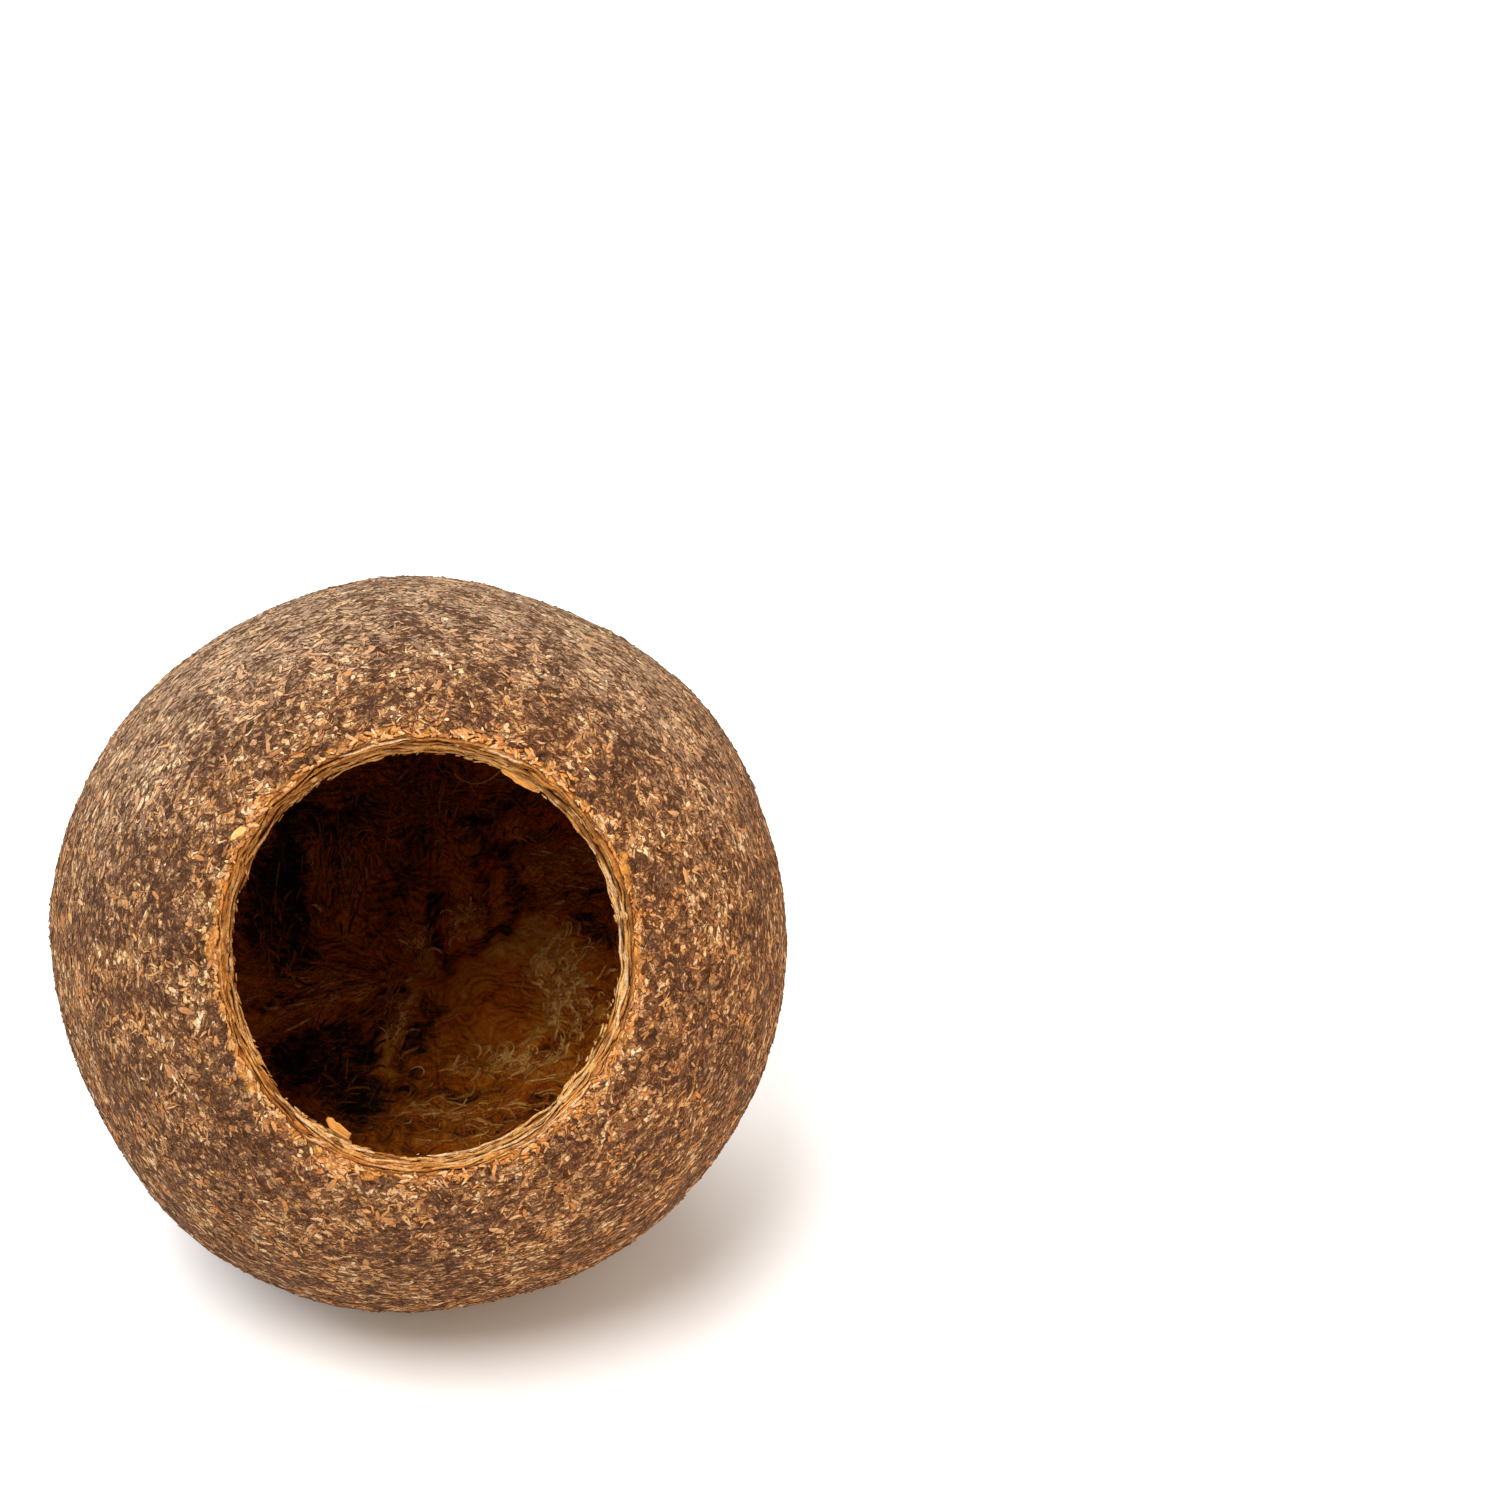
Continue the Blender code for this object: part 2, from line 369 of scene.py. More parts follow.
def edit(obj, kind="VERT", wanted=None):
    """Opens one object in edit mode, with all of it selected or only the wanted parts."""
    deselect_all()
    obj.select_set(True)
    bpy.context.view_layer.objects.active = obj
    bpy.ops.object.mode_set(mode="EDIT")
    bpy.ops.mesh.select_mode(type=kind)
    bpy.ops.mesh.select_all(action="DESELECT" if wanted else "SELECT")
    if wanted:
        bm = bmesh.from_edit_mesh(obj.data)
        for part in bm.verts if kind == "VERT" else bm.edges:
            part.select = wanted(part)
        bm.select_flush_mode()
        bmesh.update_edit_mesh(obj.data)


def close_edit():
    bpy.ops.object.mode_set(mode="OBJECT")


def open_ball(rings, radius):
    """A ball with its cap cut off at the mouth's angle."""
    deselect_all()
    bpy.ops.mesh.primitive_uv_sphere_add(segments=HUSK_SEGMENTS, ring_count=rings, radius=radius)
    ball = bpy.context.object
    rim_height = radius * cos(CUT_ANGLE - 0.2 * pi / rings)
    edit(ball, "VERT", lambda vert: vert.co.z > rim_height)
    bpy.ops.mesh.delete(type="VERT")
    close_edit()
    return ball


def take_shape(obj):
    """The points and faces of a small master shape, whose object is then removed."""
    points = [vert.co.copy() for vert in obj.data.vertices]
    faces = [tuple(face.vertices) for face in obj.data.polygons]
    bpy.data.objects.remove(obj)
    return points, faces


def chip_master(outline):
    """A thin chip with this outline: z is 0 at its foot and 1 on its top."""
    deselect_all()
    bpy.ops.mesh.primitive_circle_add(vertices=len(outline), radius=1, fill_type="NGON")
    chip = bpy.context.object
    for vert, (length, width) in zip(chip.data.vertices, outline):
        vert.co = (length, width, 0)
    edit(chip)
    bpy.ops.mesh.extrude_region_move(TRANSFORM_OT_translate={"value": (0, 0, 1)})
    bpy.ops.mesh.select_all(action="SELECT")
    bpy.ops.mesh.normals_make_consistent(inside=False)
    close_edit()
    return take_shape(chip)


def strand_master(sides, steps):
    """A straight round strand from z = 0 to z = 1, ready to be laid along a path."""
    deselect_all()
    bpy.ops.mesh.primitive_cylinder_add(vertices=sides, radius=1, depth=1)
    rod = bpy.context.object
    edit(rod, "EDGE", lambda edge: abs(edge.verts[0].co.z - edge.verts[1].co.z) > 0.5)
    bpy.ops.mesh.subdivide(number_cuts=steps - 1)
    close_edit()
    points, faces = take_shape(rod)
    return [point + Vector((0, 0, 0.5)) for point in points], faces


def draw(rng, low, high, likely=None):
    """A random number, drawn evenly or more often near the likely one."""
    return rng.uniform(low, high) if likely is None else rng.triangular(low, high, likely)


def put_in_scene(name, data):
    obj = bpy.data.objects.new(name, data)
    bpy.context.scene.collection.objects.link(obj)
    return obj


class Heap:
    """Many small copies of master shapes, gathered to be one piece."""

    def __init__(self, master=None):
        self.master = master
        self.points, self.faces, self.tints, self.edges = [], [], [], []

    def add(self, points, faces, tint, edges):
        first = len(self.points)
        self.points += points
        self.faces += [tuple(first + index for index in face) for face in faces]
        self.tints += tint * len(points)
        self.edges += edges

    def piece(self, name, material):
        mesh = bpy.data.meshes.new(name)
        mesh.from_pydata(self.points, [], self.faces)
        mesh.attributes.new("tint", "FLOAT_COLOR", "POINT").data.foreach_set("color", self.tints)
        # edge: how far each point lies from the shaded foot or side, which the materials darken as
        # painted shade
        write_floats(mesh, edge=self.edges)
        finish_piece(put_in_scene(name, mesh), name, material)


def write_floats(mesh, **values):
    for name, numbers in values.items():
        mesh.attributes.new(name, "FLOAT", "POINT").data.foreach_set("value", numbers)


def write_vectors(mesh, name, values):
    flat = [number for vector in values for number in vector]
    mesh.attributes.new(name, "FLOAT_VECTOR", "POINT").data.foreach_set("vector", flat)


def finish_piece(obj, name, *materials):
    """Puts a piece of the husk's own frame where the pod stands, with nothing below the floor."""
    obj.name = name
    mesh = obj.data
    mesh.name = name
    mesh.transform(PLACING)
    for vert in mesh.vertices:
        vert.co.z = max(vert.co.z, 0.0)
    mesh.update()
    mesh.materials.clear()
    for material in materials:
        mesh.materials.append(material)
    mesh.shade_smooth()
    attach(obj, "root")
    return obj


def linear(red, green, blue):
    """A colour as read from a picture, in the shader's own linear values."""
    channels = []
    for value in (red, green, blue):
        share = value / 255
        channels.append(share / 12.92 if share <= 0.04045 else ((share + 0.055) / 1.055) ** 2.4)
    return (*channels, 1.0)


# Colours as the photograph shows them
SOOT = linear(64, 38, 20)
DEEP_UMBER = linear(84, 52, 32)
UMBER = linear(104, 69, 46)
WARM_BROWN = linear(130, 88, 56)
RUSSET = linear(154, 99, 56)
TAN = linear(184, 133, 84)
PALE_TAN = linear(211, 166, 116)
CREAM = linear(238, 206, 162)
ORANGE_TAN = linear(192, 120, 54)
GOLD = linear(218, 154, 76)
STRAW = linear(236, 188, 120)
RUST = linear(132, 80, 34)
DARK_RUST = linear(74, 38, 14)
DARK_FIBRE = linear(60, 36, 16)
BROWN_FIBRE = linear(176, 101, 30)
PALE_FIBRE = linear(244, 190, 104)


def blend(first, second, share):
    return tuple(a + (b - a) * share for a, b in zip(first, second))


# Husk


def plain_shell():
    """Two open balls, one in the other, with the gap between their edges bridged."""
    outside = open_ball(SKIN_RINGS, BODY_RADIUS)
    inside = open_ball(HOLLOW_RINGS, HOLLOW_RADIUS)
    edit(inside)
    bpy.ops.mesh.flip_normals()
    close_edit()
    outside.select_set(True)
    bpy.context.view_layer.objects.active = outside
    bpy.ops.object.join()
    edit(outside, "EDGE", lambda edge: edge.is_boundary)
    bpy.ops.mesh.bridge_edge_loops(number_cuts=CUT_STEPS)
    close_edit()
    return outside


def coordinates_of(place):
    """(turn, share, depth) of a point of the plain shell."""
    radius = place.length
    angle = acos(max(-1.0, min(1.0, place.z / radius)))
    share = max(0.0, (angle - CUT_ANGLE) / (pi - CUT_ANGLE))
    depth = min(1.0, max(0.0, (BODY_RADIUS - radius) / WALL))
    if depth > ON_HOLLOW:
        share += BACK_CROWDING * sin(pi * share)
    return atan2(place.y, place.x), share if share > 1e-5 else 0.0, depth


def bark_place(place):
    """Where a point of the skin lies in the bark's pattern, in millimetres. The pattern is drawn
    out round the mouth's axis, the more so the farther it is from the cut."""
    off = off_cut(place) / MM
    drawn_out = 0.6 * off + 0.055 * max(0.0, off - 3) ** 2 * (1 - min(0.5, off / 74))
    return place.x / MM, place.y / MM, drawn_out


def husk(skin, cut, hollow):
    """The whole shell in one piece, finer than the solid that it stands for."""
    shell = plain_shell()
    mesh = shell.data
    spots = [coordinates_of(vert.co) for vert in mesh.vertices]
    form_light_and_shade = []
    for vert, (turn, share, depth) in zip(mesh.vertices, spots):
        pale = 0.0
        if share == 0 and ON_SKIN < depth < ON_HOLLOW:
            vert.co = edge_point(turn, CUT_RECESS, depth)
        else:
            vert.co = grown_point(turn, share, depth)
        if depth > ON_HOLLOW:
            direction = vert.co.normalized()
            height, pale = hollow_form(direction)
            vert.co -= direction * height
        form_light_and_shade.append(pale)
    for face in mesh.polygons:
        depths = [spots[index][2] for index in face.vertices]
        face.material_index = 0 if max(depths) < ON_SKIN else 2 if min(depths) > ON_HOLLOW else 1
    places = [vert.co.copy() for vert in mesh.vertices]
    inner = [tuple(face.vertices) for face in mesh.polygons if face.material_index == 2]
    write_floats(
        mesh,
        from_cut=[share * (pi - CUT_ANGLE) * BODY_RADIUS / MM for _, share, _ in spots],
        pale=form_light_and_shade,
        torn=[torn_open(p.normalized()) if s[2] < 0.5 else 0.0 for p, s in zip(places, spots)],
        off_stem=[off_stem(place) / MM for place in places],
    )
    write_vectors(mesh, "bark", [bark_place(place) for place in places])
    write_vectors(mesh, "grain", [(*turn_place(t, 1).xy, s) for t, s, _ in spots])
    materials = [face.material_index for face in mesh.polygons]
    piece = finish_piece(shell, "husk_shell", skin, cut, hollow)
    mesh.polygons.foreach_set("material_index", materials)
    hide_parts("pod")
    return BVHTree.FromPolygons(places, inner)


# Cut edge


LAYER_SEGMENTS = 480
LAYER_CORNERS = 8
LAYERS = (
    # depth; thickness, height and raggedness in millimetres; seed
    (0.09, 0.40, -0.02, 0.12, 3.0),
    (0.29, 0.34, -0.12, 0.16, 11.0),
    (0.62, 0.34, -0.14, 0.20, 23.0),
    (0.86, 0.42, -0.04, 0.22, 51.0),
)


def cut_layer(index, wood):
    """One woody layer of the wall, all round the mouth."""
    middle, thickness, height, ragged, seed = LAYERS[index]
    deselect_all()
    bpy.ops.mesh.primitive_torus_add(
        major_segments=LAYER_SEGMENTS,
        minor_segments=LAYER_CORNERS,
        major_radius=MOUTH_WIDTH / 2,
        minor_radius=0.5 * MM,
    )
    ring = bpy.context.object
    grain = []
    for vert in ring.data.vertices:
        turn = atan2(vert.co.y, vert.co.x)
        corner = atan2(vert.co.z, hypot(vert.co.x, vert.co.y) - MOUTH_WIDTH / 2)
        round_mouth = turn_place(turn, MOUTH_WIDTH / 2 / MM)
        sway = ripple(round_mouth / 5.5, 0, 0, seed)
        torn = ripple(round_mouth / 2.6, 0, 0, seed + 2)
        torn += 0.6 * ripple(round_mouth / 0.9, 0, 0, seed + 4)
        torn += 0.4 * ripple(round_mouth / 0.4, 0, 0, seed + 6)
        across = copysign(abs(cos(corner)) ** 0.6, cos(corner))
        upward = copysign(abs(sin(corner)) ** 0.6, sin(corner))
        strand = 0.06 * ripple(round_mouth / 1.8, 5 * across, 5 * upward, seed)
        half = 0.5 * thickness * (1 + 0.35 * sway)
        depth = middle + (across * (half + strand) + 0.14 * sway) * MM / WALL
        top = (height + ragged * torn + strand) * MM
        along = -top if upward > 0 else 1.2 * MM
        if abs(upward) < 0.5:
            along = 0.45 * MM - top * 0.5
        vert.co = edge_point(turn, along, min(1.03, max(-0.02, depth)))
        grain.append((*turn_place(turn, 1).xy, depth * WALL / MM))
    write_vectors(ring.data, "grain", grain)
    finish_piece(ring, f"cut_layer_{index + 1}", wood)


SPLINTERS = 240
SPLINTER_STEPS = 20
# The turn round the mouth where the painted light on the cut is brightest
PAINTED_LIGHT_TURN = radians(-45)
OPEN_SEAM = (0.41, 0.49)


def splinter_tint(rng, depth, turn):
    """Golden near the skin, paler towards the hollow, with a dark one now and then. Light and
    shade are painted in: the cut is lighter below and on the right and darker above and on the
    left, with more dark splinters above and on the left and more cream ones below and on the right."""
    outer = blend(ORANGE_TAN, GOLD, rng.random())
    inner = blend(GOLD, STRAW, rng.random())
    tint = blend(outer, inner, smooth_step(0.3, 0.6, depth))
    # painted light and shade: the tint darkens where the cut faces away from the light, and the
    # chance of dark and cream splinters follows it
    light = 0.5 + 0.5 * cos(turn - PAINTED_LIGHT_TURN)
    tint = blend(tint, RUST, 0.46 * (1 - light))
    chance = rng.random()
    if chance < 0.34 - 0.24 * light:
        return blend(tint, RUST, rng.uniform(0.5, 1.0))
    if chance > 0.95 - 0.20 * light:
        return blend(tint, CREAM, rng.uniform(0.3, 0.8))
    return tint


def cut_splinters(wood):
    """Long splinters that lie round the mouth on the cut, over each other, with a dark seam
    left open between the outer and the inner ones."""
    points, faces = strand_master(5, SPLINTER_STEPS)
    rng = random.Random(29)
    heap = Heap()
    for _ in range(SPLINTERS):
        start = rng.uniform(-pi, pi)
        run = radians(rng.triangular(4, 46, 9))
        middle = rng.uniform(0.02, 0.99)
        if OPEN_SEAM[0] < middle < OPEN_SEAM[1] and rng.random() < 0.8:
            continue
        drift = rng.gauss(0, 0.06)
        half_width = rng.triangular(0.07, 0.38, 0.12) * MM
        half_height = rng.uniform(0.12, 0.28) * MM
        proud = rng.gauss(0.10, 0.10) * MM
        if middle > 0.9:
            proud = max(proud, 0.04 * MM)
        seed = rng.uniform(0, 90)
        placed = []
        for point in points:
            turn = start + run * point.z
            taper = max(0.06, sin(pi * min(1.0, max(0.0, point.z)))) ** 0.45
            arc = turn * MOUTH_WIDTH / 2 / MM
            wobble = noise.noise(Vector((arc / 2.2, seed, 0)))
            nick = noise.noise(Vector((arc / 0.7, seed, 9)))
            depth = middle + drift * (point.z - 0.5) + 0.06 * wobble
            depth += point.x * half_width * taper * (1 + 0.5 * nick) / WALL
            into = proud + point.y * half_height * taper + 0.14 * MM * wobble + 0.10 * MM * nick
            placed.append(edge_point(turn, -into, min(1.04, max(-0.03, depth))))
        tint = splinter_tint(rng, middle, start + run / 2)
        # edge is 0 on the side towards the cut and 1 on the side that faces out, for painted shade
        heap.add(placed, faces, tint, [0.5 + 0.5 * point.y for point in points])
    heap.piece("cut_splinters", wood)


CHIP_OUTLINE = ((-1, 0.2), (-0.3, 0.9), (0.6, 0.7), (1, -0.1), (0.4, -0.8), (-0.6, -0.6))
CURL_OUTLINE = (
    (-1, 0), (-0.35, 0.45), (0.3, 1), (0.95, 0.55),
    (0.8, -0.5), (0.1, -0.6), (-0.5, -0.25),
)
TAB_OUTLINE = (
    (-1, 0.05), (-0.7, 0.7), (-0.2, 0.95), (0.3, 0.7), (0.65, 0.75),
    (1, 0.3), (0.7, -0.3), (0.1, -0.75), (-0.6, -0.8),
)
CHIP_FOOT = 0.07 * MM


def lay_chip(heap, master, tint, centre, heading, half_length, half_width, bend, thick, lift):
    """Lays one chip on the skin. Its tail is bent aside by bend, and its head lifts off."""
    points, faces = master
    crosswise = centre.cross(heading)
    placed = []
    for point in points:
        foot = CHIP_FOOT if point.z < 0.5 else 0.0
        along = point.x * half_length + copysign(foot, point.x)
        aside = point.y * half_width + copysign(foot, point.y)
        aside += bend * (0.5 - 0.5 * point.x) ** 2
        direction = (centre * BODY_RADIUS + heading * along + crosswise * aside).normalized()
        rise = lift * smooth_step(-0.2, 1.0, point.x) + (point.z - 0.35) * thick
        placed.append(direction * (skin_radius(direction, max(0.0, off_cut(direction))) + rise))
    # edge runs from 0 at the foot to 1 on the top; the material paints shade at the foot
    heap.add(placed, faces, tint, [point.z for point in points])


def around_mouth(turn, off):
    """A direction this far outside the cut's edge, and the heading round the mouth there."""
    edge = mouth_edge(turn, 0)
    axis = edge.cross(MOUTH_AXIS).normalized()
    return turned(edge, -off / BODY_RADIUS, axis), -axis


FRINGE_CHIPS = 1500
CRUMBLY_CHIPS = 130
CRUMBLY_TURN = radians(-118)


def edge_fringe(crust):
    """Torn, golden scraps of crust on the skin just outside the cut."""
    master = chip_master(CHIP_OUTLINE)
    rng = random.Random(53)
    heap = Heap()
    for index in range(FRINGE_CHIPS):
        turn = rng.uniform(-pi, pi)
        gather = noise.noise(turn_place(turn, 6.0)) + 0.5 * noise.noise(turn_place(turn, 17.0))
        gathered = smooth_step(-0.25, 0.45, gather)
        if rng.random() > 0.25 + 0.75 * gathered:
            continue
        reach = 0.7 + 1.7 * gathered
        off = abs(rng.gauss(0, 0.36)) * reach * MM
        if index < CRUMBLY_CHIPS:
            turn = CRUMBLY_TURN + rng.gauss(0, 0.035)
            off = rng.gauss(1.35, 0.45) * MM
        centre, heading = around_mouth(turn, off)
        heading = turned(heading, rng.gauss(0, 0.6), centre)
        half_length = rng.triangular(0.12, 0.7, 0.22) * MM
        half_width = half_length * rng.uniform(0.2, 0.5)
        tint = blend(ORANGE_TAN, blend(GOLD, CREAM, rng.random() ** 1.5), rng.random() ** 0.8)
        if rng.random() < 0.25:
            tint = blend(tint, RUSSET, 0.8)
        limits = ((-0.15, 0.15), (0.08, 0.18), (0.0, 0.12))
        rest = [rng.uniform(*ends) * MM for ends in limits]
        lay_chip(heap, master, tint, centre, heading, half_length, half_width, *rest)
    heap.piece("edge_fringe", crust)


LIP_SCRAPS = 300
CUT_FLAKES = 230
# Ranges of the depth, and of the half length, half width, height and lift in millimetres
SCRAP_RANGES = ((0.72, 1.06, 0.99), (0.08, 0.55, 0.16), (0.05, 0.15), (0.04, 0.28), (0, 0.3, 0.05))
FLAKE_RANGES = ((0.02, 0.98), (0.2, 1.3, 0.4), (0.1, 0.3), (0.18, 0.4), (-0.1, 0.25, 0.05))


def lip_scraps(wood):
    """Small pale scraps that stand off the cut's inner edge, and larger flakes all over it."""
    points, faces = chip_master(CHIP_OUTLINE)
    rng = random.Random(67)
    heap = Heap()
    for index in range(LIP_SCRAPS + CUT_FLAKES):
        turn = rng.uniform(-pi, pi)
        depth_range, *ranges = SCRAP_RANGES if index < LIP_SCRAPS else FLAKE_RANGES
        depth = draw(rng, *depth_range)
        half_length, half_width, proud, lift = (draw(rng, *ends) * MM for ends in ranges)
        tint = splinter_tint(rng, depth, turn)
        placed = []
        for point in points:
            spread = point.x * half_length / (MOUTH_WIDTH / 2)
            into = proud + (point.z - 0.5) * 0.09 * MM + lift * smooth_step(-0.3, 1.0, point.x)
            placed.append(edge_point(turn + spread, -into, depth + point.y * half_width / WALL))
        heap.add(placed, faces, tint, [1.0] * len(points))
    heap.piece("lip_scraps", wood)


RIBBON_TILT = 0.05
CURLED_SHAVING = (
    (-124.4, -0.1, 1, 0.2), (-121.2, 0.2, 1.04, 0.3), (-118.4, 0.48, 1.05, 0.34),
    (-116.9, 0.8, 1, 0.36), (-117.6, 1.06, 0.91, 0.38), (-120.4, 1.28, 0.87, 0.44),
    (-123, 1.52, 0.85, 0.38), (-125.4, 1.78, 0.85, 0.1),
)
PEELED_CHIPS = (
    (
        (49, 0, 0.8, 0.06), (53, 0.2, 0.84, 0.2), (57, 0.36, 0.88, 0.26),
        (61.5, 0.38, 0.87, 0.22), (66, 0.22, 0.84, 0.16), (71, 0, 0.8, 0.06),
    ),
    (
        (51, 0.3, 0.96, 0.05), (54, 0.52, 0.97, 0.18), (58, 0.72, 0.98, 0.2),
        (61, 0.66, 0.96, 0.17), (64, 0.46, 0.95, 0.06),
    ),
    ((58, 0.1, 0.7, 0.05), (62, 0.2, 0.74, 0.14), (67, 0.26, 0.8, 0.16), (73, 0.1, 0.84, 0.06)),
)


def spline(before, start, end, beyond, share):
    """A smooth curve's value between start and end."""
    rise = 0.5 * (end - before)
    fall = 0.5 * (beyond - start)
    square, cube = share**2, share**3
    value = start * (2 * cube - 3 * square + 1) + rise * (cube - 2 * square + share)
    return value + end * (3 * square - 2 * cube) + fall * (cube - square)


def ribbon(name, path, ragged, thickness, wood):
    """A flat shaving of wood. Its path is turn in degrees, distance into the mouth in
    millimetres, depth in the wall, and half its width in millimetres."""
    deselect_all()
    bpy.ops.mesh.primitive_grid_add(x_subdivisions=len(path) * 5, y_subdivisions=6, size=1)
    sheet = bpy.context.object
    last = len(path) - 1
    grain = []
    for vert in sheet.data.vertices:
        part = min(0.9999, max(0.0, vert.co.x + 0.5)) * last
        index = int(part)
        stops = [path[min(last, max(0, stop))] for stop in range(index - 1, index + 3)]
        turn, into, depth, width = (spline(*values, part - index) for values in zip(*stops))
        grain.append((0.06 * part, path[0][0], 2.4 * vert.co.y))
        fray = noise.noise(Vector((part * 2.2, vert.co.y * 3, path[0][0])))
        aside = vert.co.y * 2 * (1 + ragged * fray)
        depth = depth + aside * RIBBON_TILT + 0.02 * fray
        into = into + aside * width + 0.05 * fray
        vert.co = edge_point(radians(turn), -into * MM, depth)
    write_vectors(sheet.data, "grain", grain)
    skin = sheet.modifiers.new("thickness", "SOLIDIFY")
    skin.thickness = thickness
    skin.offset = 0
    bpy.ops.object.modifier_apply(modifier=skin.name)
    edit(sheet)
    bpy.ops.mesh.normals_make_consistent(inside=False)
    close_edit()
    finish_piece(sheet, name, wood)


def shavings(wood):
    """The curled shaving low on the left of the cut, and the peeled chip at its upper right."""
    ribbon("curled_shaving", CURLED_SHAVING, 0.15, 0.13 * MM, wood)
    for index, path in enumerate(PEELED_CHIPS):
        ribbon(f"peeled_chip_{index + 1}", path, 0.45, 0.16 * MM, wood)


# Crust on the skin


CRUST_PIECES = 3
CHIPS_PER_PIECE = 8000
CONTOUR_REACH = 0.006
# Half length in millimetres; half width, as a share of it but for curls; bend as a share of it;
# lift in millimetres
CURL = ((0.18, 0.95, 0.34), (0.06, 0.17, 0.09), (0.4, 1.25), (0, 0.18, 0.04))
SMALL_SCALE = ((0.1, 0.55, 0.18), (0.4, 0.8), (-0.3, 0.3), (0, 0.1, 0.02))
LONG_SCALE = ((0.3, 1.15, 0.5), (0.18, 0.42), (-0.6, 0.6), (0, 0.14, 0.03))


def contour_heading(direction, torn, level):
    """The way along a tear's edge, or the level way round the mouth where there is none."""
    other = direction.cross(level)
    slope_level = torn_open((direction + level * CONTOUR_REACH).normalized()) - torn
    slope_other = torn_open((direction + other * CONTOUR_REACH).normalized()) - torn
    heading = level * slope_other - other * slope_level
    return heading.normalized() if heading.length > 1e-6 else level


def torn_tint(rng, pale):
    """A chip's colour: pale is the chance that it shows its torn, light inside."""
    chance = rng.random()
    if chance < pale:
        light = blend(TAN, PALE_TAN, rng.uniform(-0.2, 1.0))
        if rng.random() < 0.45:
            return blend(light, ORANGE_TAN, rng.uniform(0.2, 0.8))
        return blend(light, CREAM, rng.random()) if rng.random() < 0.2 else light
    if chance < pale + 0.2:
        return blend(RUSSET, TAN, rng.random())
    return blend(UMBER, WARM_BROWN, rng.random())


def crust_chips(index, crust):
    """Scales and curled slivers of crust: along the tears' edges, in the tears, and a few
    small ones on the whole plates."""
    scale = chip_master(CHIP_OUTLINE)
    curl = chip_master(CURL_OUTLINE)
    rng = random.Random(41 + index)
    heap = Heap()
    made = 0
    while made < CHIPS_PER_PIECE:
        height = rng.uniform(-1.0, cos(CUT_ANGLE + 0.02))
        turn = rng.uniform(-pi, pi)
        out = sqrt(1 - height * height)
        centre = Vector((out * cos(turn), out * sin(turn), height))
        torn = torn_open(centre)
        on_edge = exp(-((torn / 0.10) ** 2))
        if rng.random() > 0.20 + 0.80 * on_edge + (0.22 if torn > 0 else 0.0):
            continue
        height_above_floor = (PLACING @ (centre * BODY_RADIUS)).z
        if height_above_floor < 0.6 * MM or off_stem(centre) < STEM_SCAR_RADIUS:
            continue
        calm = smooth_step(4, 26, (acos(height) - CUT_ANGLE) * BODY_RADIUS / MM)
        heading = Vector((-centre.y, centre.x, 0)).normalized()
        if rng.random() < on_edge * (1 - 0.75 * calm):
            heading = contour_heading(centre, torn, heading)
            swing = rng.gauss(0, 0.35)
            pale = 0.45
        else:
            swing = rng.gauss(0, 1.1 - 0.85 * calm)
            pale = (0.34 if torn > 0 else 0.17) - 0.06 * calm
        heading = turned(heading, swing, centre)
        if rng.random() < 0.5:
            heading = -heading
        size = (0.65 if torn < -0.12 else 1.0) * (1 + 0.1 * calm)
        kind = rng.random()
        curled = kind < 0.6 - 0.25 * calm
        shape = CURL if curled else SMALL_SCALE if kind < 0.85 - 0.10 * calm else LONG_SCALE
        lengths, widths, bends, lifts = shape
        half_length = rng.triangular(*lengths) * MM * size
        if curled:
            half_length *= 1 - 0.2 * calm
        half_width = draw(rng, *widths) * (MM if curled else half_length)
        side = rng.choice((-1, 1)) if curled else 1
        bend = side * rng.uniform(*bends) * half_length
        lift = rng.triangular(*lifts) * MM
        thick = rng.uniform(0.04, 0.09) * MM * (1 - 0.35 * calm)
        tint = torn_tint(rng, pale)
        master = curl if curled else scale
        lay_chip(heap, master, tint, centre, heading, half_length, half_width, bend, thick, lift)
        made += 1
    heap.piece(f"crust_chips_{index + 1}", crust)


def edge_tab(crust):
    """The broad, pale scrap of crust that stands on the skin left of the mouth."""
    heap = Heap()
    centre, heading = around_mouth(radians(145), 1.05 * MM)
    heading = turned(heading, radians(-14), centre)
    sizes = [size * MM for size in (0.95, 0.42, 0.2, 0.26, 0.1)]
    lay_chip(heap, chip_master(TAB_OUTLINE), STRAW, centre, heading, *sizes)
    heap.piece("edge_tab", crust)


# Fibres in the hollow


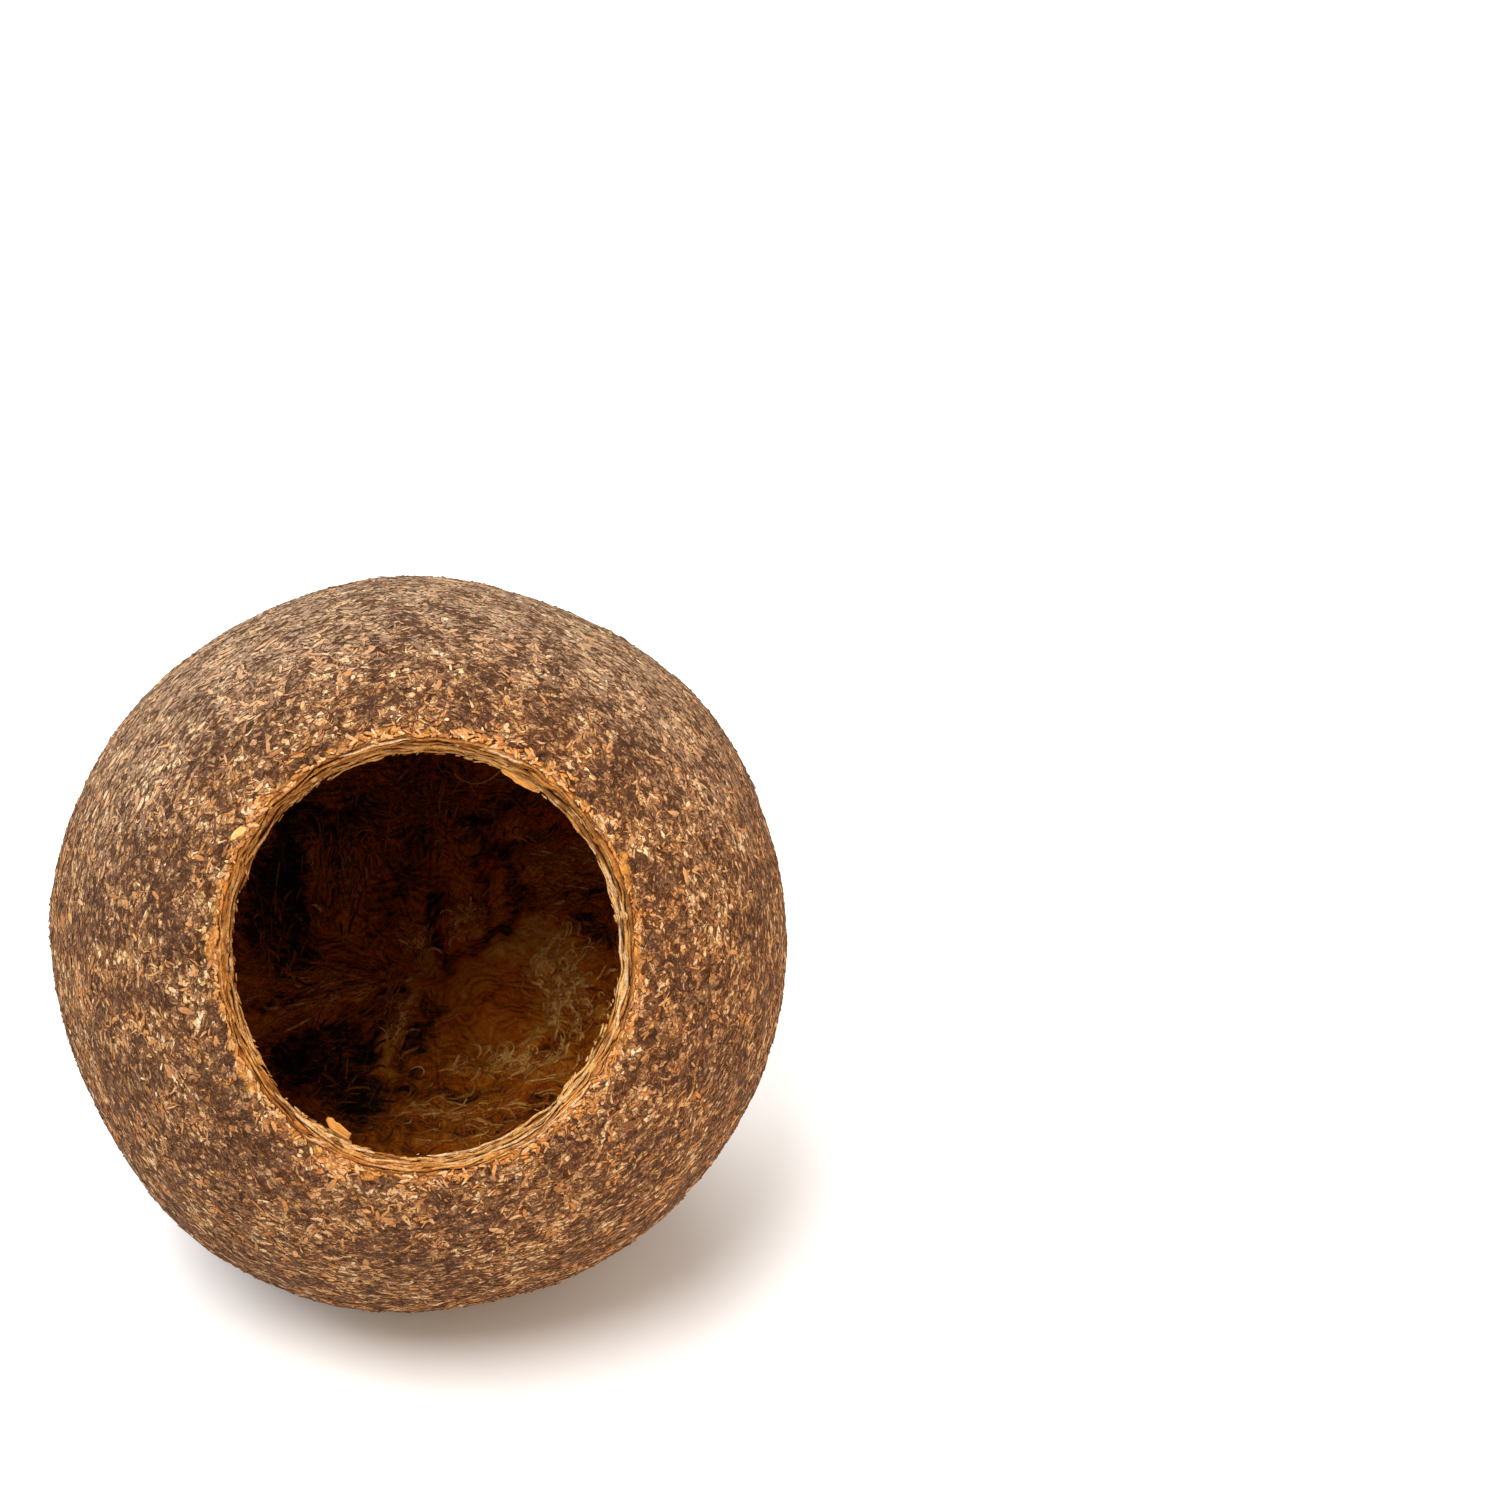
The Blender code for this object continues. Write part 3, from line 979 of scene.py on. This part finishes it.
FIBRE_STEPS = 8
FIBRE_SIDES = 3
FIBRE_BEDS = (
    # middle; spread in x and y; heading in degrees or None for towards the stem end;
    # scatter of the heading; curl; number; mean paleness, partly painted light and shade:
    # palest on the lower right, darker on the left and at the top
    ((-10.0, -6.0), (6.5, 2.4), None, 7, 0.04, 230, 0.05),
    ((-3.4, -10.4), (0.8, 3.2), 66, 16, 0.10, 70, 0.20),
    ((0.0, -2.0), (1.5, 1.6), 80, 34, 0.16, 40, 0.10),
    ((5.2, 1.2), (2.4, 2.2), 70, 36, 0.20, 60, 0.05),
    ((-8.6, 6.0), (3.2, 5.0), 88, 8, 0.05, 150, -0.20),
    ((3.5, 11.0), (8.0, 4.0), 100, 30, 0.12, 100, -0.25),
    ((15.6, 5.8), (4.6, 3.4), 12, 10, 0.06, 200, 0.05),
    ((16.0, -8.0), (3.0, 5.2), 68, 22, 0.24, 230, 0.45),
    ((9.6, -15.4), (6.0, 1.6), 28, 12, 0.12, 150, 0.40),
    ((5.0, -20.8), (10.0, 2.4), 4, 8, 0.08, 260, 0.20),
    ((-11.0, -15.4), (4.6, 3.4), 35, 26, 0.12, 80, -0.50),
    ((-16.0, -1.0), (3.4, 4.4), 90, 18, 0.08, 70, -0.30),
)
WALL_FIBRES = 600


def level_with(direction, heading):
    """The heading without its part that leads off the wall."""
    return (heading - direction * heading.dot(direction)).normalized()


def lay_fibre(heap, rng, hollow_wall, direction, heading, curl, length, thickness, pale):
    """One fibre that wanders over the hollow's wall and lifts off it a little."""
    points, faces = heap.master
    stride = length / FIBRE_STEPS / HOLLOW_RADIUS
    swing = rng.gauss(0, curl)
    height = rng.triangular(0.0, 0.30, 0.04) * MM * (0.4 + curl)
    path = []
    for step in range(FIBRE_STEPS + 1):
        hit = hollow_wall.ray_cast(Vector((0, 0, 0)), direction)[0]
        radius = hit.length if hit else HOLLOW_RADIUS
        path.append(direction * (radius - height * sin(pi * step / FIBRE_STEPS)))
        swing += rng.gauss(0, curl)
        heading = turned(heading, 0.7 * swing, direction)
        direction = (direction + heading * stride).normalized()
        heading = level_with(direction, heading)
    placed = []
    for point in points:
        step = round(point.z * FIBRE_STEPS)
        forward = path[min(FIBRE_STEPS, step + 1)] - path[max(0, step - 1)]
        across = forward.cross(path[step]).normalized()
        upward = across.cross(forward).normalized()
        taper = 0.15 + 0.85 * sin(pi * point.z) ** 0.5 if 0 < point.z < 1 else 0.15
        offset = across * point.x + upward * point.y
        placed.append(path[step] + offset * (thickness / 2 * taper))
    brown = blend(DARK_FIBRE, BROWN_FIBRE, smooth_step(-1.2, 0.2, pale))
    tint = blend(brown, PALE_FIBRE, smooth_step(0.2, 1.2, pale))
    heap.add(placed, faces, tint, [1.0] * len(points))


def back_fibres(bast, hollow_wall):
    """The beds of fibre on the back of the hollow, as seen through the mouth."""
    rng = random.Random(17)
    heap = Heap(strand_master(FIBRE_SIDES, FIBRE_STEPS))
    reach = HOLLOW_RADIUS / MM
    for middle, spread, bearing, scatter, curl, number, mean in FIBRE_BEDS:
        for _ in range(number):
            x, y = ((at + rng.gauss(0, 0.6) * off) / reach for at, off in zip(middle, spread))
            if x * x + y * y > 0.86:
                continue
            start = Vector((x, y, -sqrt(1 - x * x - y * y)))
            if bearing is None:
                heading = -level_with(start, STEM)
            else:
                heading = level_with(start, turn_place(radians(bearing), 1))
            heading = turned(heading, radians(rng.gauss(0, scatter)), start)
            # the fibre also takes on the painted light and shade of the form beneath it
            pale = mean + rng.gauss(0, 0.35) + 0.5 * hollow_form(start)[1]
            length = rng.triangular(0.8, 5.0, 1.8) * MM * (1 - 0.9 * curl)
            thickness = rng.triangular(0.12, 0.46, 0.18) * MM * (1 + 1.6 * curl)
            lay_fibre(heap, rng, hollow_wall, start, heading, curl, length, thickness, pale)
    heap.piece("back_fibres", bast)


def wall_fibres(bast, hollow_wall):
    """Fibres on the hollow's sides, which run to the stem end."""
    rng = random.Random(71)
    heap = Heap(strand_master(FIBRE_SIDES, FIBRE_STEPS))
    for _ in range(WALL_FIBRES):
        turn = rng.uniform(-pi, pi)
        start = mouth_edge(turn, 1).slerp(STEM, rng.uniform(0.03, 0.72))
        heading = turned(level_with(start, STEM), radians(rng.gauss(0, 14)), start)
        length = rng.triangular(3.0, 12.0, 5.0) * MM
        thickness = rng.triangular(0.09, 0.34, 0.14) * MM
        pale = rng.gauss(0.15, 0.4)
        lay_fibre(heap, rng, hollow_wall, start, heading, 0.10, length, thickness, pale)
    heap.piece("wall_fibres", bast)


# Materials


HUSK_GLOSS = 0.07
HALVES = (0.5, 0.5, 0.5)


class Shader:
    """A node tree under construction, with one short call for each kind of node."""

    def __init__(self, name):
        self.material = bpy.data.materials.new(name)
        self.material.use_nodes = True
        self.tree = self.material.node_tree

    def fill(self, node, inputs):
        """Links each input to another node's output, or sets it to a plain value."""
        for key, value in inputs.items():
            if isinstance(value, bpy.types.NodeSocket):
                self.tree.links.new(value, node.inputs[key])
            else:
                node.inputs[key].default_value = value

    def node(self, kind, output, inputs, **settings):
        """One output of a new node with these inputs and settings."""
        node = self.tree.nodes.new(kind)
        for key, value in settings.items():
            setattr(node, key, value)
        self.fill(node, inputs)
        return node.outputs[output]

    def attribute(self, name, output="Fac"):
        return self.node("ShaderNodeAttribute", output, {}, attribute_name=name)

    def place(self):
        return self.node("ShaderNodeTexCoord", "Object", {})

    def mouth_space(self, stretch=1.0):
        """Object coordinates turned so that Z is the mouth's axis, in millimetres."""
        inputs = {
            "Vector": self.place(),
            "Location": (0, 0, CENTRE_HEIGHT),
            "Rotation": (pi / 2 - MOUTH_RISE, 0, 0),
            "Scale": (MM, MM, MM / stretch),
        }
        return self.node("ShaderNodeMapping", "Vector", inputs, vector_type="TEXTURE")

    def part(self, vector, axis):
        return self.node("ShaderNodeSeparateXYZ", axis, {0: vector})

    def scaled(self, vector, scale, shift=(0, 0, 0)):
        inputs = {"Vector": vector, "Scale": scale, "Location": shift}
        return self.node("ShaderNodeMapping", "Vector", inputs)

    def noise(self, vector, scale, detail=4.0, roughness=0.55, distortion=0.0, output="Fac"):
        inputs = {"Vector": vector, "Scale": scale, "Detail": detail}
        inputs.update({"Roughness": roughness, "Distortion": distortion})
        return self.node("ShaderNodeTexNoise", output, inputs)

    def cells(self, vector, scale, feature="F1", output="Distance"):
        inputs = {"Vector": vector, "Scale": scale}
        return self.node("ShaderNodeTexVoronoi", output, inputs, feature=feature)

    def math(self, operation, first, second=0.0):
        return self.node("ShaderNodeMath", 0, {0: first, 1: second}, operation=operation)

    def both(self, first, second):
        return self.math("MULTIPLY", first, second)

    def sum(self, *weighted):
        """The sum of values, each given with its weight."""
        total = None
        for value, weight in weighted:
            part = self.both(value, weight)
            total = part if total is None else self.math("ADD", total, part)
        return total

    def step(self, value, low, high, bottom=0.0, top=1.0):
        """A smooth rise from bottom to top while value goes from low to high."""
        inputs = {"Value": value, "From Min": low, "From Max": high, "To Min": bottom, "To Max": top}
        return self.node("ShaderNodeMapRange", "Result", inputs, interpolation_type="SMOOTHSTEP")

    def fade(self, value, low, high):
        """A smooth fall from 1 to 0 while value goes from low to high."""
        return self.step(value, low, high, 1.0, 0.0)

    def ridge(self, value, width, middle=0.5):
        """1 along one contour of a noise, falling to 0 within the width."""
        off = self.math("ABSOLUTE", self.math("SUBTRACT", value, middle))
        return self.fade(off, 0.0, width)

    def ramp(self, value, stops):
        node = self.tree.nodes.new("ShaderNodeValToRGB")
        elements = node.color_ramp.elements
        while len(elements) < len(stops):
            elements.new(0.5)
        for element, (position, colour) in zip(elements, stops):
            element.position = position
            element.color = colour
        self.fill(node, {"Fac": value})
        return node.outputs["Color"]

    def mix(self, share, first, second, kind="MIX"):
        inputs = {0: share, 6: first, 7: second}
        return self.node("ShaderNodeMix", 2, inputs, data_type="RGBA", blend_type=kind)

    def coat(self, colour, *coats):
        """The colour with others laid over it, each given by how far it covers and its colour."""
        for share, *over in coats:
            colour = self.mix(share, colour, *over)
        return colour

    def lerp(self, share, first, second):
        """A number between two numbers."""
        return self.sum((first, self.math("SUBTRACT", 1.0, share)), (second, share))

    def warped(self, vector, scale, amount):
        """The vector, pushed about by a noise of this scale."""
        push = self.noise(vector, scale, detail=2.0, output="Color")
        centred = self.node("ShaderNodeVectorMath", 0, {0: push, 1: HALVES}, operation="SUBTRACT")
        inputs = {0: centred, 1: (amount, amount, amount), 2: vector}
        return self.node("ShaderNodeVectorMath", 0, inputs, operation="MULTIPLY_ADD")

    def finish(self, colour, roughness, height=None, depth=0.0, gloss=HUSK_GLOSS):
        """The material, whose surface stands up to depth where height does."""
        inputs = {"Base Color": colour, "Roughness": roughness, "Specular IOR Level": gloss}
        if height is not None:
            relief = {"Height": height, "Distance": depth}
            inputs["Normal"] = self.node("ShaderNodeBump", "Normal", relief)
        self.fill(self.tree.nodes["Principled BSDF"], inputs)
        return self.material


# The pale colour of the painted light and sheen on the upper side
PAINTED_TOP_LIGHT_COLOUR = linear(218, 196, 166)
WARMER = (1.0, 0.84, 0.58, 1.0)
COOLER = (0.86, 0.86, 1.0, 1.0)
REDDER = (1.0, 0.72, 0.5, 1.0)


def painted_top_light(s):
    """How far the upper side is painted paler, as painted light and sheen from above: not near the
    mouth, and most on the top.
    """
    off_mouth = s.fade(s.part(s.mouth_space(), "Z"), 16.0, 31.0)
    return s.both(s.step(s.part(s.place(), "Z"), 0.046, 0.070), off_mouth)


SKIN_STOPS = (
    (0.16, SOOT), (0.34, DEEP_UMBER), (0.46, UMBER), (0.53, WARM_BROWN),
    (0.61, RUSSET), (0.69, TAN), (0.80, PALE_TAN), (0.95, CREAM),
)
TONE_SHIFT = 0.86
SCAR_RIM = 4.9
SCAR_RING = 1.9


def skin_material():
    """Dark cork that is broken into small ragged flakes, the torn ones tan and pale."""
    s = Shader("corky_skin")
    bark = s.attribute("bark", "Vector")
    from_cut = s.attribute("from_cut")
    far = s.step(from_cut, 8.0, 34.0)
    swirled = s.warped(bark, 0.7, 1.3)
    ragged = s.warped(swirled, 2.2, 0.55)
    grain = s.noise(ragged, 0.9, 6.0, 0.68)
    fine = s.noise(s.mouth_space(), 4.6, 4.0, 0.72)
    flake = s.cells(ragged, 1.35, output="Color")
    gap = s.cells(ragged, 1.35, "DISTANCE_TO_EDGE")
    crumb = s.cells(s.warped(ragged, 4.5, 0.22), 3.4, output="Color")
    wound = s.noise(s.scaled(swirled, (1, 1, 1), (7, 3, 5)), 1.2, detail=2.0, distortion=1.2)
    threads = s.both(s.ridge(wound, 0.022), s.step(s.noise(bark, 1.3, 2.0), 0.46, 0.56))
    bark_crack = s.cells(s.warped(bark, 0.5, 2.0), 0.16, "DISTANCE_TO_EDGE")
    crack = s.both(s.fade(bark_crack, 0.0, 0.016), s.step(s.noise(bark, 0.12), 0.48, 0.6))
    torn = s.attribute("torn")
    whole = s.fade(torn, -0.20, 0.08)
    bared = s.step(s.noise(ragged, 0.26, 3.0), 0.56, 0.63)
    tone = s.sum(
        (s.both(flake, s.lerp(whole, 1.0, 0.76)), 0.79),
        (bared, 0.08),
        (crumb, 0.40),
        (grain, 1.2),
        (torn, 0.11),
        (fine, 0.5),
        # painted light: the tone is raised on the upper side, away from the mouth
        (s.both(far, painted_top_light(s)), 0.08),
    )
    tone = s.math("SUBTRACT", tone, TONE_SHIFT)
    hue = s.noise(swirled, 0.5, 3.0)
    # painted shade: the gaps between flakes are darkened as the shadow in them
    shaded_gaps = s.both(s.fade(gap, 0.0, 0.09), s.step(tone, 0.35, 0.55))
    off_scar = s.sum((s.attribute("off_stem"), 1.0), (fine, 1.4))
    patchy = s.math("SUBTRACT", s.noise(bark, 0.30, 2.0), 0.5)
    near_cut = s.sum((from_cut, 1.0), (grain, -5.0), (patchy, -5.0))
    colour = s.coat(
        s.ramp(tone, SKIN_STOPS),
        (s.step(hue, 0.50, 0.62, 0.0, 0.75), WARMER, "MULTIPLY"),
        (s.both(s.fade(hue, 0.38, 0.48), whole), COOLER, "MULTIPLY"),
        # painted light and sheen on the upper side
        (s.both(painted_top_light(s), s.step(tone, 0.40, 0.75, 0.03, 0.4)), PAINTED_TOP_LIGHT_COLOUR),
        # painted shade in the gaps between flakes
        (s.both(shaded_gaps, 0.85), SOOT),
        # a pale line along the plates' torn edges: partly their frayed, pale fibre and partly painted
        # highlight
        (s.both(s.ridge(tone, 0.022, 0.56), 0.45), PALE_TAN),
        (s.both(threads, 0.7), PALE_TAN),
        (s.both(crack, 0.85), SOOT),
        (s.both(s.fade(off_scar, 3.9, 4.9), 0.8), s.mix(s.step(fine, 0.38, 0.62), WARM_BROWN, TAN)),
        (s.both(s.ridge(off_scar, 0.55, SCAR_RIM), 0.8), SOOT),
        (s.both(s.ridge(off_scar, 0.45, SCAR_RING), 0.7), SOOT),
        (s.fade(near_cut, -2.6, -1.6), s.mix(s.step(fine, 0.35, 0.65), ORANGE_TAN, GOLD)),
    )
    height = s.sum(
        (flake, 0.8), (crumb, 0.4), (grain, 2.2), (shaded_gaps, -0.6), (threads, 0.4), (crack, -1.0)
    )
    return s.finish(colour, s.step(fine, 0.3, 0.7, 0.70, 0.9), height, 0.28 * MM)


def crust_material():
    """Chips of crust, with painted shade round their feet, and a grain of their own."""
    s = Shader("torn_crust")
    fine = s.noise(s.mouth_space(stretch=1.6), 3.6, 4.0, 0.7)
    colour = s.coat(
        s.attribute("tint", "Color"),
        (s.step(fine, 0.34, 0.66, 0.42, 0.0), RUSSET, "MULTIPLY"),
        (s.step(fine, 0.58, 0.74, 0.0, 0.4), CREAM),
        # painted light and sheen on the upper side
        (s.both(painted_top_light(s), 0.25), PAINTED_TOP_LIGHT_COLOUR),
        # painted shade round the chips' feet and on their lower flanks
        (s.step(s.attribute("edge"), 0.25, 1.0, 0.92, 0.0), SOOT),
    )
    return s.finish(colour, 0.82, fine, 0.14 * MM)


def grain_space(s, round_scale, across_scale):
    """Coordinates that follow the grain: slow along it and fast across it."""
    return s.scaled(s.attribute("grain", "Vector"), (round_scale, round_scale, across_scale))


WOOD_STOPS = ((0.30, DARK_RUST), (0.44, RUST), (0.54, ORANGE_TAN), (0.66, GOLD), (0.80, STRAW))


def cut_material(name, paler):
    """Wood whose grain runs along its layer."""
    s = Shader(name)
    streaks = s.noise(grain_space(s, 9.0, 3.6), 1.0, 6.0, 0.65, 0.3)
    fine = s.noise(grain_space(s, 60.0, 9.0), 1.0, 4.0, 0.7)
    colour = s.coat(
        s.ramp(s.math("ADD", streaks, paler), WOOD_STOPS),
        (s.step(fine, 0.55, 0.75, 0.0, 0.4), STRAW),
        (s.step(fine, 0.25, 0.42, 0.5, 0.0), DARK_RUST),
    )
    return s.finish(colour, 0.75, s.sum((streaks, 1.0), (fine, 0.5)), 0.2 * MM)


def splinter_material():
    """Golden splinters with a fine grain, and painted shade on their lower sides and flanks, towards
    the cut.
    """
    s = Shader("cut_splinter")
    blotch = s.noise(s.mouth_space(), 0.9, 3.0)
    fine = s.noise(s.mouth_space(), 4.5, 4.0, 0.7)
    colour = s.coat(
        s.attribute("tint", "Color"),
        (s.step(fine, 0.36, 0.62, 0.55, 0.0), RUST, "MULTIPLY"),
        (s.step(blotch, 0.52, 0.70, 0.0, 0.45), STRAW),
        (s.step(blotch, 0.30, 0.46, 0.55, 0.0), RUST),
        # painted shade on the splinters' lower sides and flanks, towards the cut
        (s.step(s.attribute("edge"), 0.35, 0.95, 0.9, 0.0), DARK_RUST),
    )
    return s.finish(colour, 0.72, fine, 0.12 * MM)


HOLLOW_STOPS = (
    (0.26, linear(40, 28, 15)),
    (0.38, linear(106, 65, 31)),
    (0.50, linear(178, 90, 14)),
    (0.64, linear(222, 124, 22)),
    (0.80, linear(238, 162, 52)),
    (0.95, linear(244, 200, 120)),
)
HOLLOW_SHIFT = 0.305


def hollow_material():
    """Orange-brown inner wall with matted fibre, darker in its pockets and grooves and paler on its
    ridges, partly as painted shade and light, and redder on the right.
    """
    s = Shader("hollow_wall")
    along = s.noise(grain_space(s, 30.0, 5.0), 1.0, 6.0, 0.65, 0.8)
    swirled = s.warped(s.warped(s.mouth_space(), 0.13, 9.0), 0.6, 1.6)
    matted = s.noise(s.scaled(swirled, (0.45, 1.9, 1.0)), 1.0, 7.0, 0.66)
    fine = s.noise(s.mouth_space(), 2.8, 4.0, 0.7)
    # pale carries painted light on the ridges and painted shade in the grooves and pockets, as well
    # as the wall's own tone
    tone = s.sum((along, 0.42), (matted, 0.98), (fine, 0.24), (s.attribute("pale"), 0.27))
    tone = s.math("SUBTRACT", tone, HOLLOW_SHIFT)
    on_right = s.step(s.part(swirled, "X"), -4.0, 5.0)
    blotch = s.both(s.step(s.noise(swirled, 0.14, 2.0), 0.46, 0.60, 0.0, 0.75), on_right)
    colour = s.mix(blotch, s.ramp(tone, HOLLOW_STOPS), REDDER, "MULTIPLY")
    height = s.sum((along, 1.0), (matted, 1.8), (fine, 0.4))
    return s.finish(colour, 0.78, height, 0.75 * MM)


def fibre_material():
    """Matted bast fibres."""
    s = Shader("hollow_fibre")
    fine = s.noise(s.mouth_space(), 3.4, 3.0)
    colour = s.mix(s.step(fine, 0.35, 0.65, 0.5, 0.0), s.attribute("tint", "Color"), RUST, "MULTIPLY")
    return s.finish(colour, 0.75, fine, 0.06 * MM)


# Studio


LENS_PIXELS = 4500
FRAME_PIXELS = 1500
SENSOR_WIDTH = 36
POD_PIXEL = (422.0, 941.7)
CAMERA_TURN = radians(5.9)
CAMERA_TILT = radians(31.0)
CAMERA_DISTANCE = 12.37 * BODY_RADIUS
FLOOR_SIZE = 6
LIGHTS = (
    # name; place; width; power; colour
    ("key", (-0.28, -0.45, 0.93), 0.6, 11.3, (1, 1, 1)),
    ("top", (-0.05, 0.45, 1.0), 0.9, 6.0, (1, 1, 1)),
    ("behind", (-0.85, 0.55, 0.45), 0.5, 3.6, (1, 1, 1)),
    ("warm_fill", (0.8, -0.45, 0.22), 0.5, 5, (1.0, 0.66, 0.32)),
)
SURROUND = 0.61


def camera():
    """The photograph's view: a long lens, looking down, with the pod left of and below the middle."""
    right = Vector((cos(CAMERA_TURN), -sin(CAMERA_TURN), 0))
    flat_forward = Vector((sin(CAMERA_TURN), cos(CAMERA_TURN), 0))
    forward = flat_forward * cos(CAMERA_TILT) - Vector((0, 0, sin(CAMERA_TILT)))
    upward = right.cross(forward)
    middle = FRAME_PIXELS / 2
    ray = right * (POD_PIXEL[0] - middle) - upward * (POD_PIXEL[1] - middle) + forward * LENS_PIXELS
    data = bpy.data.cameras.new("view")
    data.sensor_width = SENSOR_WIDTH
    data.lens = SENSOR_WIDTH * LENS_PIXELS / FRAME_PIXELS
    data.clip_start = 0.02
    data.clip_end = 20
    place = Vector((0, 0, CENTRE_HEIGHT)) - ray.normalized() * CAMERA_DISTANCE
    facing = Matrix((right, upward, -forward)).transposed().to_4x4()
    obj = put_in_scene("view", data)
    obj.matrix_world = Matrix.Translation(place) @ facing
    bpy.context.scene.camera = obj


def studio():
    """A white floor, four large soft lights, and an even white surround."""
    deselect_all()
    bpy.ops.mesh.primitive_plane_add(size=FLOOR_SIZE)
    floor = bpy.context.object
    floor.name = "floor"
    floor.data.materials.append(Shader("white_paper").finish((0.92, 0.92, 0.92, 1), 0.9, gloss=0.1))
    for name, place, size, power, colour in LIGHTS:
        data = bpy.data.lights.new(name, "AREA")
        data.shape = "DISK"
        data.size = size
        data.energy = power
        data.color = colour
        light = put_in_scene(name, data)
        light.location = place
        downward = Vector((0, 0, CENTRE_HEIGHT)) - Vector(place)
        light.rotation_euler = downward.to_track_quat("-Z", "Y").to_euler()
    world = bpy.data.worlds.new("surround")
    world.use_nodes = True
    world.node_tree.nodes["Background"].inputs["Color"].default_value = (1, 1, 1, 1)
    world.node_tree.nodes["Background"].inputs["Strength"].default_value = SURROUND
    bpy.context.scene.world = world
    bpy.context.scene.view_settings.view_transform = "Standard"


def main():
    cut_wood = cut_material("cut_wood", 0.0)
    shaving_wood = cut_material("shaving_wood", 0.13)
    splinter_wood = splinter_material()
    crust = crust_material()
    bast = fibre_material()
    hollow_wall = husk(skin_material(), cut_wood, hollow_material())
    for index in range(len(LAYERS)):
        cut_layer(index, cut_wood)
    cut_splinters(splinter_wood)
    lip_scraps(splinter_wood)
    shavings(shaving_wood)
    edge_fringe(crust)
    edge_tab(crust)
    for index in range(CRUST_PIECES):
        crust_chips(index, crust)
    back_fibres(bast, hollow_wall)
    wall_fibres(bast, hollow_wall)
    camera()
    studio()


main()
